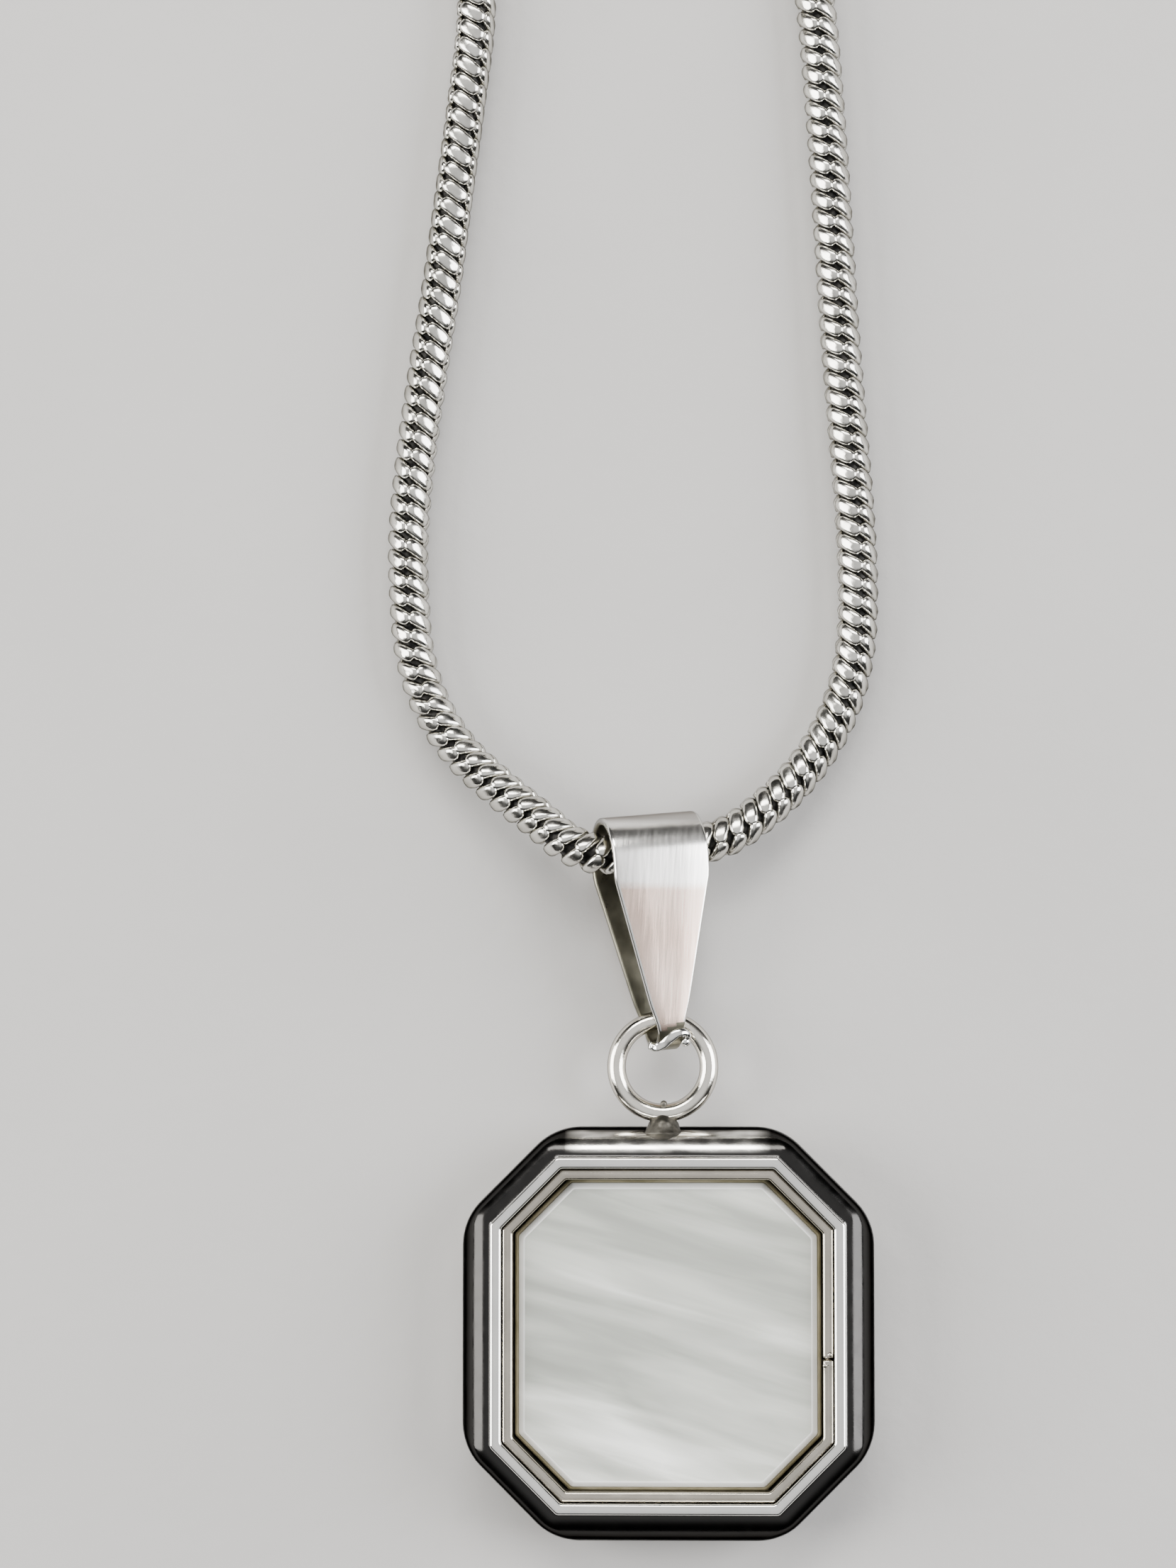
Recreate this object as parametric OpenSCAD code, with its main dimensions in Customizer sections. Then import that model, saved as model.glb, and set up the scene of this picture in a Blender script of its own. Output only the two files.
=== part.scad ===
// Pendant necklace: an eight-sided metal case with an inlaid shell panel, hung by a ring and a
// folded bail on a flexible chain, with a spring ring clasp. It lies flat, front face up.
// +Z is up, +Y runs from the case to the bail, and the origin is the middle of the case's back.

/* [Case] */
// Width and height of the case at its widest
case_w = 20; // [18:0.5:24]
// Thickness of the case from its back to the top of the rim
case_t = 4.6; // [4.2:0.1:6]
// Width of the raised rim, outside
rim_w = 17.1; // [16.6:0.1:17.6]
// Leg of the rim's cut corners
rim_leg = 3.2; // [2.6:0.1:3.8]
// Wall of the raised rim
rim_wall = 0.55; // [0.4:0.05:0.6]
// Width of the flat on the back
back_w = 17; // [14:0.5:17.5]

/* [Inlay] */
// Width of the shell panel
shell_w = 14.4; // [13.6:0.1:14.5]
// Height of the shell panel
shell_h = 14.6; // [13.6:0.1:14.7]
// Thickness of the shell panel
shell_t = 1.5; // [0.8:0.1:1.8]
// Width of the strip that frames the panel
strip_wall = 0.5; // [0.35:0.05:0.5]

/* [Hanger] */
// Middle radius of the ring on the case
ring_r = 2.25; // [2.1:0.05:2.6]
// Thickness of the ring's wire
ring_wire = 0.9; // [0.7:0.05:0.95]
// Height of the ring's centre above the case's centre
ring_y = 12.9; // [12.8:0.05:13.1]
// Diameter of the post between the ring and the case
post_d = 1.5; // [1:0.1:1.8]

/* [Bail] */
// Width of the bail at its fold
bail_w = 4.8; // [4:0.1:5.2]
// Width of the bail where it holds the ring
bail_foot_w = 1.5; // [1.2:0.1:1.6]
// Thickness of the bail's strip
bail_t = 0.35; // [0.25:0.05:0.4]
// Inner radius of the fold that the chain runs through
bail_fold_r = 1.7; // [1.65:0.05:1.8]
// Inner radius of the foot that the ring runs through
bail_foot_r = 1.1; // [1.05:0.05:1.15]
// Distance between the centres of the fold and the foot
bail_l = 8; // [7.9:0.05:8.1]
// Lean of the bail about its own length
bail_roll = 18; // [15:1:19]
// Turn of the bail to the left of the case's middle
bail_yaw = 4.5; // [4:0.5:5]
// Rise of the bail from the ring to the fold
bail_pitch = 3; // [2.5:0.5:4]

/* [Chain] */
// Diameter of the chain
chain_d = 2; // [1.8:0.1:2]
// Radius of the coil's inner turns
coil_in_r = 10.6; // [10.4:0.1:10.8]
// Spacing of the coil's turns
coil_step = 2.2; // [2.1:0.05:2.3]

/* [Clasp] */
// Middle radius of the clasp's round body
clasp_r = 2.5; // [2.4:0.1:2.6]
// Outer diameter of the clasp's tube
clasp_tube = 1.6; // [1.5:0.1:1.6]
// Diameter of the clasp's sliding latch
latch_d = 0.92; // [0.8:0.02:0.94]
// Middle radius of the end ring
end_ring_r = 2; // [1.8:0.1:2]
// Thickness of the wire of the end ring, the cap loops and the clasp's eye
link_wire = 0.5; // [0.4:0.02:0.54]
// Length of a chain end cap
cap_l = 3; // [2.5:0.1:3.2]
// Diameter of a chain end cap
cap_d = 2.3; // [2.2:0.05:2.4]

/* [Hidden] */
fine = 48;

// Case: the height of its widest girth, its cut corners and how much they are rounded
girth_z = 1.9;
case_leg = 4.5;
case_round = 3;
slices = 12;
slice_t = 0.02;
rim_base_z = case_t - 0.9;
pocket_z = 1.8;
pocket_w = rim_w - 2 * rim_wall;
strip_gap = 0.04;
strip_top_z = case_t - 0.35;
strip_w = pocket_w - 2 * strip_gap;
seam_y = -1.1;
seam_w = 0.1;
pad_t = 0.25;
pad_w = shell_w - 0.6;
shell_leg = 2.55;
bevel = 0.25;

// Hanger: the ring sits a little left of the middle, at half the case's thickness
ring_x = -0.25;
ring_z = 2.4;
post_sink = 0.35;
hinge = [ring_x, ring_y + ring_r, ring_z];

// Chain: the ends that lie loose, as rings along the chain's middle
chain_r = chain_d / 2;
tube_sides = 8;
passage = [-0.85, 23.45, 2.8];
left_route = [
    passage, [-3.2, 23.2, 3.3], [-4.8, 23.72, 3.1], [-6.25, 24.9, 2.5], [-8.35, 26.6, 1.8],
    [-10.3, 28.5, 1.25], [-11.65, 30.65, 1], [-12.45, 33.1, 1], [-12.75, 36, 1], [-12.8, 39, 1],
    [-12.45, 43, 1], [-11.9, 47, 1], [-11.2, 51.5, 1], [-10.6, 56, 1], [-10, 60.5, 1],
    [-9.5, 65, 1], [-9.65, 69, 1], [-10.4, 72.3, 1], [-11.4, 75, 1]
];
right_route = [
    passage, [1.2, 23.65, 2.5], [2.9, 24.15, 2.2], [4.3, 25.1, 1.85], [6, 26.65, 1.4],
    [7.5, 28.6, 1.1], [8.6, 30.85, 1], [9.2, 33.4, 1], [9.35, 36.5, 1], [9.2, 40, 1],
    [8.85, 44.5, 1], [8.5, 49, 1], [8.2, 54, 1], [7.85, 59.5, 1], [7.4, 65, 1],
    [7, 67.9, 1], [6.1, 70, 1], [4.4, 71.4, 1]
];
coil_at = [-1, 84.5];
coil_out_r = coil_in_r + coil_step;
coil_layer = 2.1;
coil_top = chain_d + coil_layer;
coil_corner = 0.7;
tail_left_route = [
    [-1.1, 97.9, 3.1], [1.1, 98.4, 2.9], [3.2, 98.6, 2.2], [5.2, 98.3, 1.5], [7, 97.4, 1.15]
];
tail_right_route = [
    [4.5, 77.4, 2.4], [2.2, 76.6, 1.7], [-0.3, 76.2, 1.25], [-2.7, 76.6, 1.15],
    [-4.3, 77.7, 1.15], [-5.1, 79.1, 1.15], [-5.2, 80.6, 1.15]
];

// Chain ends: where each cap starts, and the way that it and what hangs on it point
cap_z = 1.15;
cap_left_at = [7, 97.4, cap_z];
cap_left_dir = -30;
cap_right_at = [-5.2, 80.6, cap_z];
cap_right_dir = 92;
loop_r = 0.85;
loop_out = 0.75;
pivot_out = cap_l + loop_out + loop_r;
clasp_dir = -14;
end_ring_dir = 62;
near_wire = 0.7;
link_r = link_wire / 2;
link_z = 0.95;
eye_r = 1.1;
eye_out = eye_r - near_wire;
eye_sink = 0.4;
clasp_out = eye_out + eye_r + link_r + clasp_r + clasp_tube / 2 - eye_sink;

// Clasp: angles round its body, with its eye at 180
clasp_bore = 1.04;
gap_from = -62;
gap_to = -22;
socket_to = -11;
latch_tip = -16;
latch_tail = -105;
bore_end = -196;
spring_start = -108;
spring_end = -186;
knob_at = -92;
knob_d = 0.44;
knob_l = 1.55;
slot_w = 0.6;
slot_from = -87;
slot_to = -142;
spring_turns = 7;
spring_r = 0.32;
spring_wire = 0.16;
spring_steps = 12;

module octagon(w, h, leg) {
    x = w / 2;
    y = h / 2;
    polygon([
        [x, y - leg], [x - leg, y], [leg - x, y], [-x, y - leg],
        [-x, leg - y], [leg - x, -y], [x - leg, -y], [x, leg - y]
    ]);
}

// An octagon whose corners are rounded, kept at its full width
module soft_octagon(w, leg, r) {
    offset(r, $fn = 48) octagon(w - 2 * r, w - 2 * r, leg - r * (2 - sqrt(2)));
}

// The case's width at a height: a quarter ellipse below its girth and another above it
function case_width(z) = z < girth_z
    ? back_w + (case_w - back_w) * sqrt(1 - pow(1 - z / girth_z, 2))
    : rim_w + (case_w - rim_w) * sqrt(1 - pow((z - girth_z) / (rim_base_z - girth_z), 2));
function case_slice_leg(z) = z < girth_z
    ? case_leg
    : case_leg + (rim_leg - case_leg) * pow((z - girth_z) / (rim_base_z - girth_z), 2);
function case_slice_round(z) = z < girth_z
    ? case_round
    : case_round + (0.3 - case_round) * pow((z - girth_z) / (rim_base_z - girth_z), 2);

module pendant_case() color("silver") {
    difference() {
        union() {
            hull() {
                for (i = [0:slices]) {
                    z = (rim_base_z - slice_t) * i / slices;
                    translate([0, 0, z])
                        linear_extrude(slice_t)
                            soft_octagon(case_width(z), case_slice_leg(z), case_slice_round(z));
                }
            }
            translate([0, 0, girth_z])
                linear_extrude(case_t - girth_z)
                    octagon(rim_w, rim_w, rim_leg);
        }
        translate([0, 0, pocket_z])
            linear_extrude(case_t)
                octagon(pocket_w, pocket_w, inner_leg(rim_wall));
    }
}

// The cut corner's leg at a distance inside the rim, so that all eight walls are as thick
function inner_leg(inset) = rim_leg - inset * (2 - sqrt(2));

module bezel_strip() color("gainsboro") {
    inset = rim_wall + strip_gap;
    inner = strip_w - 2 * strip_wall;
    difference() {
        translate([0, 0, pocket_z])
            linear_extrude(strip_top_z - pocket_z)
                difference() {
                    octagon(strip_w, strip_w, inner_leg(inset));
                    octagon(inner, inner, inner_leg(inset + strip_wall));
                }
        translate([0, seam_y, pocket_z - 1])
            cube([strip_w, seam_w, case_t]);
    }
}

module adhesive_pad() color("ivory")
    translate([0, 0, pocket_z])
        linear_extrude(pad_t)
            octagon(pad_w, pad_w, shell_leg);

module shell_inlay() color("whitesmoke")
    translate([0, 0, pocket_z + pad_t])
        hull() {
            linear_extrude(shell_t - bevel)
                octagon(shell_w, shell_h, shell_leg);
            linear_extrude(shell_t)
                octagon(shell_w - 2 * bevel, shell_h - 2 * bevel, shell_leg - bevel * (2 - sqrt(2)));
        }

module hanger_post() color("gray") {
    from = case_w / 2 - post_sink;
    to = ring_y - ring_r;
    translate([ring_x, from, ring_z])
        rotate([-90, 0, 0])
            cylinder(d = post_d, h = to - from, $fn = fine);
}

// A closed ring of round wire, lying flat
module wire_ring(r, wire)
    rotate_extrude($fn = fine)
        translate([r, 0])
            circle(d = wire, $fn = fine);

module hanger_ring() color("silver")
    translate([ring_x, ring_y, ring_z])
        wire_ring(ring_r, ring_wire);

// The side view of a strap round two circles: x along it, y across it
module strap_side(foot_r, fold_r)
    hull() {
        circle(foot_r, $fn = 2 * fine);
        translate([bail_l, 0]) circle(fold_r, $fn = 2 * fine);
    }

module bail() color("silver") {
    top = bail_l + bail_fold_r + bail_t + 1;
    low = -bail_foot_r - bail_t - 1;
    translate(hinge)
        rotate([bail_pitch, 0, bail_yaw])
            rotate([0, bail_roll, 0])
                intersection() {
                    rotate([90, 0, 90])
                        translate([0, 0, -bail_w / 2])
                            linear_extrude(bail_w)
                                difference() {
                                    strap_side(bail_foot_r + bail_t, bail_fold_r + bail_t);
                                    strap_side(bail_foot_r, bail_fold_r);
                                }
                    translate([0, 0, -bail_w])
                        linear_extrude(2 * bail_w)
                            polygon([
                                [-bail_foot_w / 2, low], [bail_foot_w / 2, low],
                                [bail_foot_w / 2, -bail_foot_r / 2],
                                [bail_w / 2, bail_l - 1], [bail_w / 2, top],
                                [-bail_w / 2, top], [-bail_w / 2, bail_l - 1],
                                [-bail_foot_w / 2, -bail_foot_r / 2]
                            ]);
                }
}

function unit(v) = v / norm(v);
function heading(p, i) = unit(p[min(i + 1, len(p) - 1)] - p[max(i - 1, 0)]);

// A closed tube with flat ends along a list of points, its flats turned down and up
module tube(points, r, sides) {
    corner_r = r / cos(180 / sides);
    last = len(points) - 1;
    corners = [
        for (i = [0:last])
            let (
                t = heading(points, i),
                across = unit(cross([0, 0, 1], t)),
                up = cross(t, across)
            )
            for (k = [0:sides - 1])
                let (a = 360 * (k + 0.5) / sides)
                points[i] + corner_r * (cos(a) * across + sin(a) * up)
    ];
    walls = [
        for (i = [0:last - 1])
            for (k = [0:sides - 1])
                let (n = (k + 1) % sides)
                [i * sides + k, (i + 1) * sides + k, (i + 1) * sides + n, i * sides + n]
    ];
    near = [for (k = [0:sides - 1]) k];
    far = [for (k = [sides - 1:-1:0]) last * sides + k];
    polyhedron(corners, concat(walls, [near, far]), convexity = 6);
}

module chain_left() color("lightgray") tube(left_route, chain_r, tube_sides);

module chain_right() color("lightgray") tube(right_route, chain_r, tube_sides);

module chain_coil() color("lightgray") {
    in = coil_in_r - coil_step / 2;
    out = coil_out_r + coil_step / 2;
    translate([coil_at[0], coil_at[1], 0])
        rotate_extrude($fn = 96)
            polygon([
                [in, 0], [out, 0], [out, coil_top - coil_corner], [out - coil_corner, coil_top],
                [in + coil_corner, coil_top], [in, coil_top - coil_corner]
            ]);
}

module tail_left() color("lightgray") tube(tail_left_route, chain_r, tube_sides);

module tail_right() color("lightgray") tube(tail_right_route, chain_r, tube_sides);

// A cup for the chain's end, closed by a loop that stands on edge
module end_cap(at, dir) color("silver")
    translate(at)
        rotate([0, 0, dir]) {
            rotate([0, 90, 0])
                cylinder(d = cap_d, h = cap_l, $fn = fine);
            translate([cap_l + loop_out, 0, 0])
                rotate([90, 0, 0])
                    wire_ring(loop_r, link_wire);
        }

module end_cap_left() end_cap(cap_left_at, cap_left_dir);

module end_cap_right() end_cap(cap_right_at, cap_right_dir);

// Puts its children on a cap's loop: the origin is the loop's outer wire, and +X points away
module on_loop(at, cap_dir, dir)
    translate([at[0] + pivot_out * cos(cap_dir), at[1] + pivot_out * sin(cap_dir), link_z])
        rotate([0, 0, dir])
            children();

module on_clasp()
    on_loop(cap_left_at, cap_left_dir, clasp_dir)
        translate([clasp_out, 0, 0])
            children();

// A round bar or groove along part of the clasp's circle
module arc(from, to, d)
    rotate([0, 0, from])
        rotate_extrude(angle = to - from, $fn = fine)
            translate([clasp_r, 0])
                circle(d = d, $fn = fine);

module clasp_body() color("silver")
    on_clasp()
        difference() {
            arc(gap_to, gap_from + 360, clasp_tube);
            arc(gap_to - 1, socket_to, clasp_bore);
            arc(bore_end, gap_from + 1, clasp_bore);
            rotate([0, 0, slot_to])
                rotate_extrude(angle = slot_from - slot_to, $fn = fine)
                    translate([clasp_r, -slot_w / 2])
                        square([clasp_tube, slot_w]);
        }

module clasp_eye() color("silver")
    on_loop(cap_left_at, cap_left_dir, clasp_dir)
        translate([eye_out, 0, 0])
            wire_ring(eye_r, link_wire);

module clasp_latch() color("gray")
    on_clasp() {
        arc(latch_tail, latch_tip, latch_d);
        rotate([0, 0, knob_at])
            translate([clasp_r, 0, 0])
                rotate([0, 90, 0])
                    cylinder(d = knob_d, h = knob_l, $fn = fine);
    }

module clasp_spring() color("dimgray")
    on_clasp()
        tube([
            for (i = [0:spring_turns * spring_steps])
                let (
                    s = i / (spring_turns * spring_steps),
                    a = spring_start + (spring_end - spring_start) * s,
                    w = 360 * i / spring_steps,
                    r = clasp_r + spring_r * cos(w)
                )
                [r * cos(a), r * sin(a), spring_r * sin(w)]
        ], spring_wire / 2, 5);

module end_ring() color("silver")
    on_loop(cap_right_at, cap_right_dir, end_ring_dir)
        translate([end_ring_r - near_wire, 0, 0])
            wire_ring(end_ring_r, link_wire);

pendant_case();
bezel_strip();
shell_inlay();
adhesive_pad();
hanger_post();
hanger_ring();
bail();
chain_left();
chain_right();
chain_coil();
tail_left();
tail_right();
end_cap_left();
end_cap_right();
clasp_body();
clasp_eye();
clasp_spring();
clasp_latch();
end_ring();
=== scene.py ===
"""Pendant necklace: the looks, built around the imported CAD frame. Lengths are in metres."""
import math

import bmesh
import bpy
import numpy as np
from mathutils import Matrix, Vector


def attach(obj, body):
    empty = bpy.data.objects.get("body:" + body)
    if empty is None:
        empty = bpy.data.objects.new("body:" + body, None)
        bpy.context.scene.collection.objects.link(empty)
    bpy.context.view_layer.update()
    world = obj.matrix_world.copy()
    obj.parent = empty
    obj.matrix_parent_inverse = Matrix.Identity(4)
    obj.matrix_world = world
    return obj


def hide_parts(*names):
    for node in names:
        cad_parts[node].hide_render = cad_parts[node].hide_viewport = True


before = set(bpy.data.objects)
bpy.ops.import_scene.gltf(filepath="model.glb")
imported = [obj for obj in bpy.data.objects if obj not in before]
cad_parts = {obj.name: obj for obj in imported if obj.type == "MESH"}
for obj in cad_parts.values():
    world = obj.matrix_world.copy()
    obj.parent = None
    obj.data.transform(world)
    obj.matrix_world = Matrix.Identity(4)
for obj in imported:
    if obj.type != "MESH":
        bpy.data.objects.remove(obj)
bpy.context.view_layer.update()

MM = 0.001


# ---------------------------------------------------------------- camera

CAMERA_AT = Vector((0.0036, 0.0130, 0.2220))
CAMERA_AIM = Vector((-0.0039, 0.0267, 0.0020))
CAMERA_LENS = 103.5

camera = bpy.data.objects.new("camera", bpy.data.cameras.new("camera"))
bpy.context.scene.collection.objects.link(camera)
camera.data.lens = CAMERA_LENS
camera.data.sensor_width = 36
camera.data.clip_start = 0.005
ahead = (CAMERA_AIM - CAMERA_AT).normalized()
right = ahead.cross(Vector((0, 1, 0))).normalized()
camera.matrix_world = (Matrix.Translation(CAMERA_AT)
                       @ Matrix((right, right.cross(ahead), -ahead)).transposed().to_4x4())
bpy.context.scene.camera = camera


# ---------------------------------------------------------------- materials

# What polished metal reflects at a glancing angle, less than a full mirror does
EDGE_TINT = (0.3, 0.3, 0.3, 1)


def set_stops(node, stops):
    """Put a colour ramp's stops in. A new ramp has two, so the first two given take their places."""
    elements = node.color_ramp.elements
    for i, (place, color) in enumerate(stops):
        element = elements[i] if i < 2 else elements.new(place)
        element.position = place
        element.color = (*color, 1)


class Shader:
    """A material made of nodes, with short names for the nodes used here."""

    def __init__(self, name, color, metallic, roughness, **sockets):
        self.material = bpy.data.materials.new(name)
        self.material.use_nodes = True
        self.tree = self.material.node_tree
        self.bsdf = self.tree.nodes["Principled BSDF"]
        self.bsdf.inputs["Base Color"].default_value = (*color, 1)
        self.bsdf.inputs["Metallic"].default_value = metallic
        self.bsdf.inputs["Roughness"].default_value = roughness
        for socket, value in sockets.items():
            self.bsdf.inputs[socket.replace("_", " ")].default_value = value

    def node(self, kind, **inputs):
        """A new node, with each named input set to a value or linked to a socket."""
        node = self.tree.nodes.new(kind)
        for socket, value in inputs.items():
            socket = node.inputs[socket.replace("_", " ")]
            if isinstance(value, bpy.types.NodeSocket):
                self.tree.links.new(value, socket)
            else:
                socket.default_value = value
        return node

    def coords(self, stretch=(1, 1, 1), turn=(0, 0, 0)):
        """Object coordinates, turned and then scaled."""
        coord = self.node("ShaderNodeTexCoord").outputs["Object"]
        turned = self.node("ShaderNodeMapping", Vector=coord, Rotation=turn).outputs[0]
        return self.node("ShaderNodeMapping", Vector=turned, Scale=stretch).outputs[0]

    def along(self, axis, turn=(0, 0, 0)):
        """How far along an object axis a point lies, in metres."""
        return self.node("ShaderNodeSeparateXYZ", Vector=self.coords(turn=turn)).outputs[axis]

    def noise(self, scale, detail=3, stretch=(1, 1, 1), turn=(0, 0, 0), distortion=0):
        return self.node("ShaderNodeTexNoise", Vector=self.coords(stretch, turn), Scale=scale,
                         Detail=detail, Distortion=distortion).outputs[0]

    def range(self, value, low, high, source=(0.3, 0.7)):
        """A value from the source range, moved to low-high."""
        return self.node("ShaderNodeMapRange", Value=value, From_Min=source[0],
                         From_Max=source[1], To_Min=low, To_Max=high).outputs[0]

    def ramp(self, value, *stops):
        """A colour for each value. The first two stops are the lowest and the highest."""
        node = self.node("ShaderNodeValToRGB", Fac=value)
        set_stops(node, stops)
        return node.outputs[0]

    def mix(self, factor, a, b):
        """A value between a and b. Each of the three is a number or a socket."""
        node = self.tree.nodes.new("ShaderNodeMix")
        node.data_type = "FLOAT"
        for socket, value in ((0, factor), (2, a), (3, b)):
            if isinstance(value, bpy.types.NodeSocket):
                self.tree.links.new(value, node.inputs[socket])
            else:
                node.inputs[socket].default_value = value
        return node.outputs[0]

    def maths(self, operation, a, b=None):
        node = self.node("ShaderNodeMath", Value=a)
        node.operation = operation
        if b is not None:
            self.tree.links.new(b, node.inputs[1])
        return node.outputs[0]

    def times(self, a, b):
        return self.maths("MULTIPLY", a, b)

    def most(self, a, b):
        return self.maths("MAXIMUM", a, b)

    def bump(self, height, distance, strength=1.0, normal=None):
        node = self.node("ShaderNodeBump", Height=height, Distance=distance, Strength=strength)
        if normal is not None:
            self.tree.links.new(normal, node.inputs["Normal"])
        return node.outputs[0]

    def worn(self, scratch):
        """The normal of polished metal: fine scratches over a soft waviness."""
        waves = self.bump(self.noise(260, 2), 0.00002)
        lines = self.noise(900, 4, stretch=(1, 14, 1), turn=(0, 0, 0.6))
        return self.bump(lines, scratch, normal=waves)

    def use(self, **links):
        """Link outputs to the sockets of the material's own shader."""
        for socket, output in links.items():
            self.tree.links.new(output, self.bsdf.inputs[socket.replace("_", " ")])
        return self


def polished(name, color, roughness, wear, scratch):
    """Polished metal with a little tarnish. wear is how much darker its dullest spots are, and
    scratch is how deep its scratches are, in metres."""
    s = Shader(name, color, 1, roughness, Specular_Tint=EDGE_TINT)
    dark = tuple(c * (1 - wear) for c in color)
    s.use(Base_Color=s.ramp(s.noise(420, 4), (0.35, dark), (0.62, color)),
          Roughness=s.range(s.noise(1500, 5), roughness * 0.75, roughness * 1.5),
          Normal=s.worn(scratch))
    return s.material


# Where the case's side changes from painted dark reflection to painted bright reflection, or
# back, in metres
REFLECTION_TOP_START_Y, REFLECTION_TOP_END_Y = (0.0087, 0.0090), (0.00972, 0.00985)
REFLECTION_TOP_END_X = (0.0040, 0.0050)
REFLECTION_UNDER_END_Z = (0.0015, 0.0023)


def body_metal_painted_reflections():
    """The case's side, with its reflections painted into its colour: a dark shoulder, painted as
    the dark it would mirror from above and round it, and painted bright reflection on its top
    side, which faces the bail, and below its widest girth."""
    # The near black is a painted dark reflection, and the near white a painted bright one
    dark, bright = (0.036, 0.035, 0.034), (0.93, 0.91, 0.86)
    s = Shader("body_steel_painted_reflections", dark, 1, 0.18, Specular_Tint=EDGE_TINT)
    y, aside = s.along("Y"), s.maths("ABSOLUTE", s.along("X"))
    # Painted bright reflection on the top side, broken into painted streaks
    top = s.times(s.range(y, 0, 1, source=REFLECTION_TOP_START_Y), s.range(y, 1, 0, source=REFLECTION_TOP_END_Y))
    top = s.times(top, s.range(aside, 1, 0, source=REFLECTION_TOP_END_X))
    streaks = s.noise(380, 2, stretch=(1, 2.5, 1))
    top = s.times(top, s.range(streaks, 0.3, 1, source=(0.44, 0.54)))
    # Painted bright reflection below the widest girth
    under = s.range(s.along("Z"), 0.62, 0, source=REFLECTION_UNDER_END_Z)
    s.use(Base_Color=s.ramp(s.most(top, under), (0.0, dark), (1.0, bright)),
          Roughness=s.range(s.noise(1500, 5), 0.12, 0.24),
          Normal=s.worn(0.000002))
    return s.material


def chain_metal():
    """Steel of the links, duller between the highlights than the pendant's."""
    s = Shader("chain_steel", (0.68, 0.665, 0.62), 1, 0.16, Specular_Tint=(0.15, 0.15, 0.14, 1))
    color = s.ramp(s.noise(700, 3), (0.35, (0.58, 0.565, 0.52)), (0.6, (0.74, 0.725, 0.68)))
    s.use(Base_Color=color,
          Roughness=s.range(s.noise(2600, 3), 0.12, 0.26),
          Normal=s.bump(s.noise(2200, 3), 0.000012))
    return s.material


def dark_metal_painted_shade():
    """The inside of the chain, painted near black as the shade seen between its links."""
    s = Shader("chain_inside_painted_shade", (0.03, 0.028, 0.026), 1, 0.55)
    color = s.ramp(s.noise(3000, 3), (0.4, (0.01, 0.01, 0.01)), (0.7, (0.05, 0.048, 0.045)))
    s.use(Base_Color=color,
          Normal=s.bump(s.noise(4000, 2), 0.00002))
    return s.material


# How far up along Y the bail's colour changes from warm to a pale painted highlight, and from
# that to grey painted shade, in metres
PAINTED_HIGHLIGHT_Y, PAINTED_SHADE_Y = (0.0214, 0.0219), (0.0245, 0.0249)


def satin_metal_painted_light():
    """Brushed along the bail: warm near the ring, a pale painted highlight above that, and grey
    painted shade over the fold.
    """
    warm, pale, grey = (0.66, 0.50, 0.42), (0.96, 0.94, 0.91), (0.22, 0.21, 0.20)
    s = Shader("bail_satin_painted_light", (0.86, 0.82, 0.77), 1, 0.25, Specular_Tint=(0.4, 0.38, 0.36, 1))
    brush = s.noise(700, 4, stretch=(8, 0.6, 2), turn=(0, 0, 0.05))
    cloud = s.noise(220, 3)
    y = s.along("Y")
    highlight_rise, crest = s.range(y, 0, 0.8, source=PAINTED_HIGHLIGHT_Y), s.range(y, 0, 0.8, source=PAINTED_SHADE_Y)
    level = s.mix(0.5, s.mix(0.25, highlight_rise, cloud), crest)
    # The pale band is a painted highlight, and the grey over the fold is painted shade
    s.use(Base_Color=s.ramp(level, (0.05, warm), (0.92, grey), (0.34, pale), (0.46, pale)),
          Roughness=s.mix(0.5, s.range(brush, 0.18, 0.30), s.range(cloud, 0.18, 0.28)),
          Normal=s.bump(brush, 0.000003, normal=s.bump(s.noise(240, 1), 0.00002)))
    return s.material


def inner_metal_painted_shade():
    """The bail's inner face, painted dark as shade, since it only sees the dark gap under the fold.
    """
    # Painted shade: the inner face is coloured dark for the shade it lies in
    s = Shader("bail_inside_painted_shade", (0.20, 0.19, 0.145), 1, 0.3)
    color = s.ramp(s.noise(350, 3), (0.35, (0.13, 0.125, 0.095)), (0.65, (0.27, 0.255, 0.20)))
    s.use(Base_Color=color,
          Roughness=s.range(s.noise(900, 3), 0.25, 0.4),
          Normal=s.bump(s.noise(700, 4, stretch=(8, 0.6, 2)), 0.000003))
    return s.material


def solder_metal():
    """Rough, dark solder."""
    s = Shader("solder_joint", (0.07, 0.066, 0.058), 1, 0.5)
    color = s.ramp(s.noise(1300, 3), (0.35, (0.03, 0.028, 0.024)), (0.65, (0.13, 0.122, 0.105)))
    s.use(Base_Color=color,
          Roughness=s.range(s.noise(2500, 3), 0.42, 0.6),
          Normal=s.bump(s.noise(1500, 4), 0.00004))
    return s.material


# The grey of each band of the shell, by its place from the lower edge to the upper one
BANDS = ((0.0, 0.85), (1.0, 0.55), (0.10, 0.60), (0.22, 0.80), (0.34, 0.42), (0.48, 0.52),
         (0.58, 0.38), (0.70, 0.34), (0.84, 0.50))
BAND_TURN, STREAK_TURN = (0, 0, 0.33), (0, 0, 0.28)
BAND_REACH, BAND_DRIFT = 0.0095, 0.0028
SHADES = ((0.15, (0.22, 0.23, 0.205)), (0.85, (0.88, 0.89, 0.85)),
          (0.40, (0.33, 0.342, 0.31)), (0.60, (0.50, 0.512, 0.47)))


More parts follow.
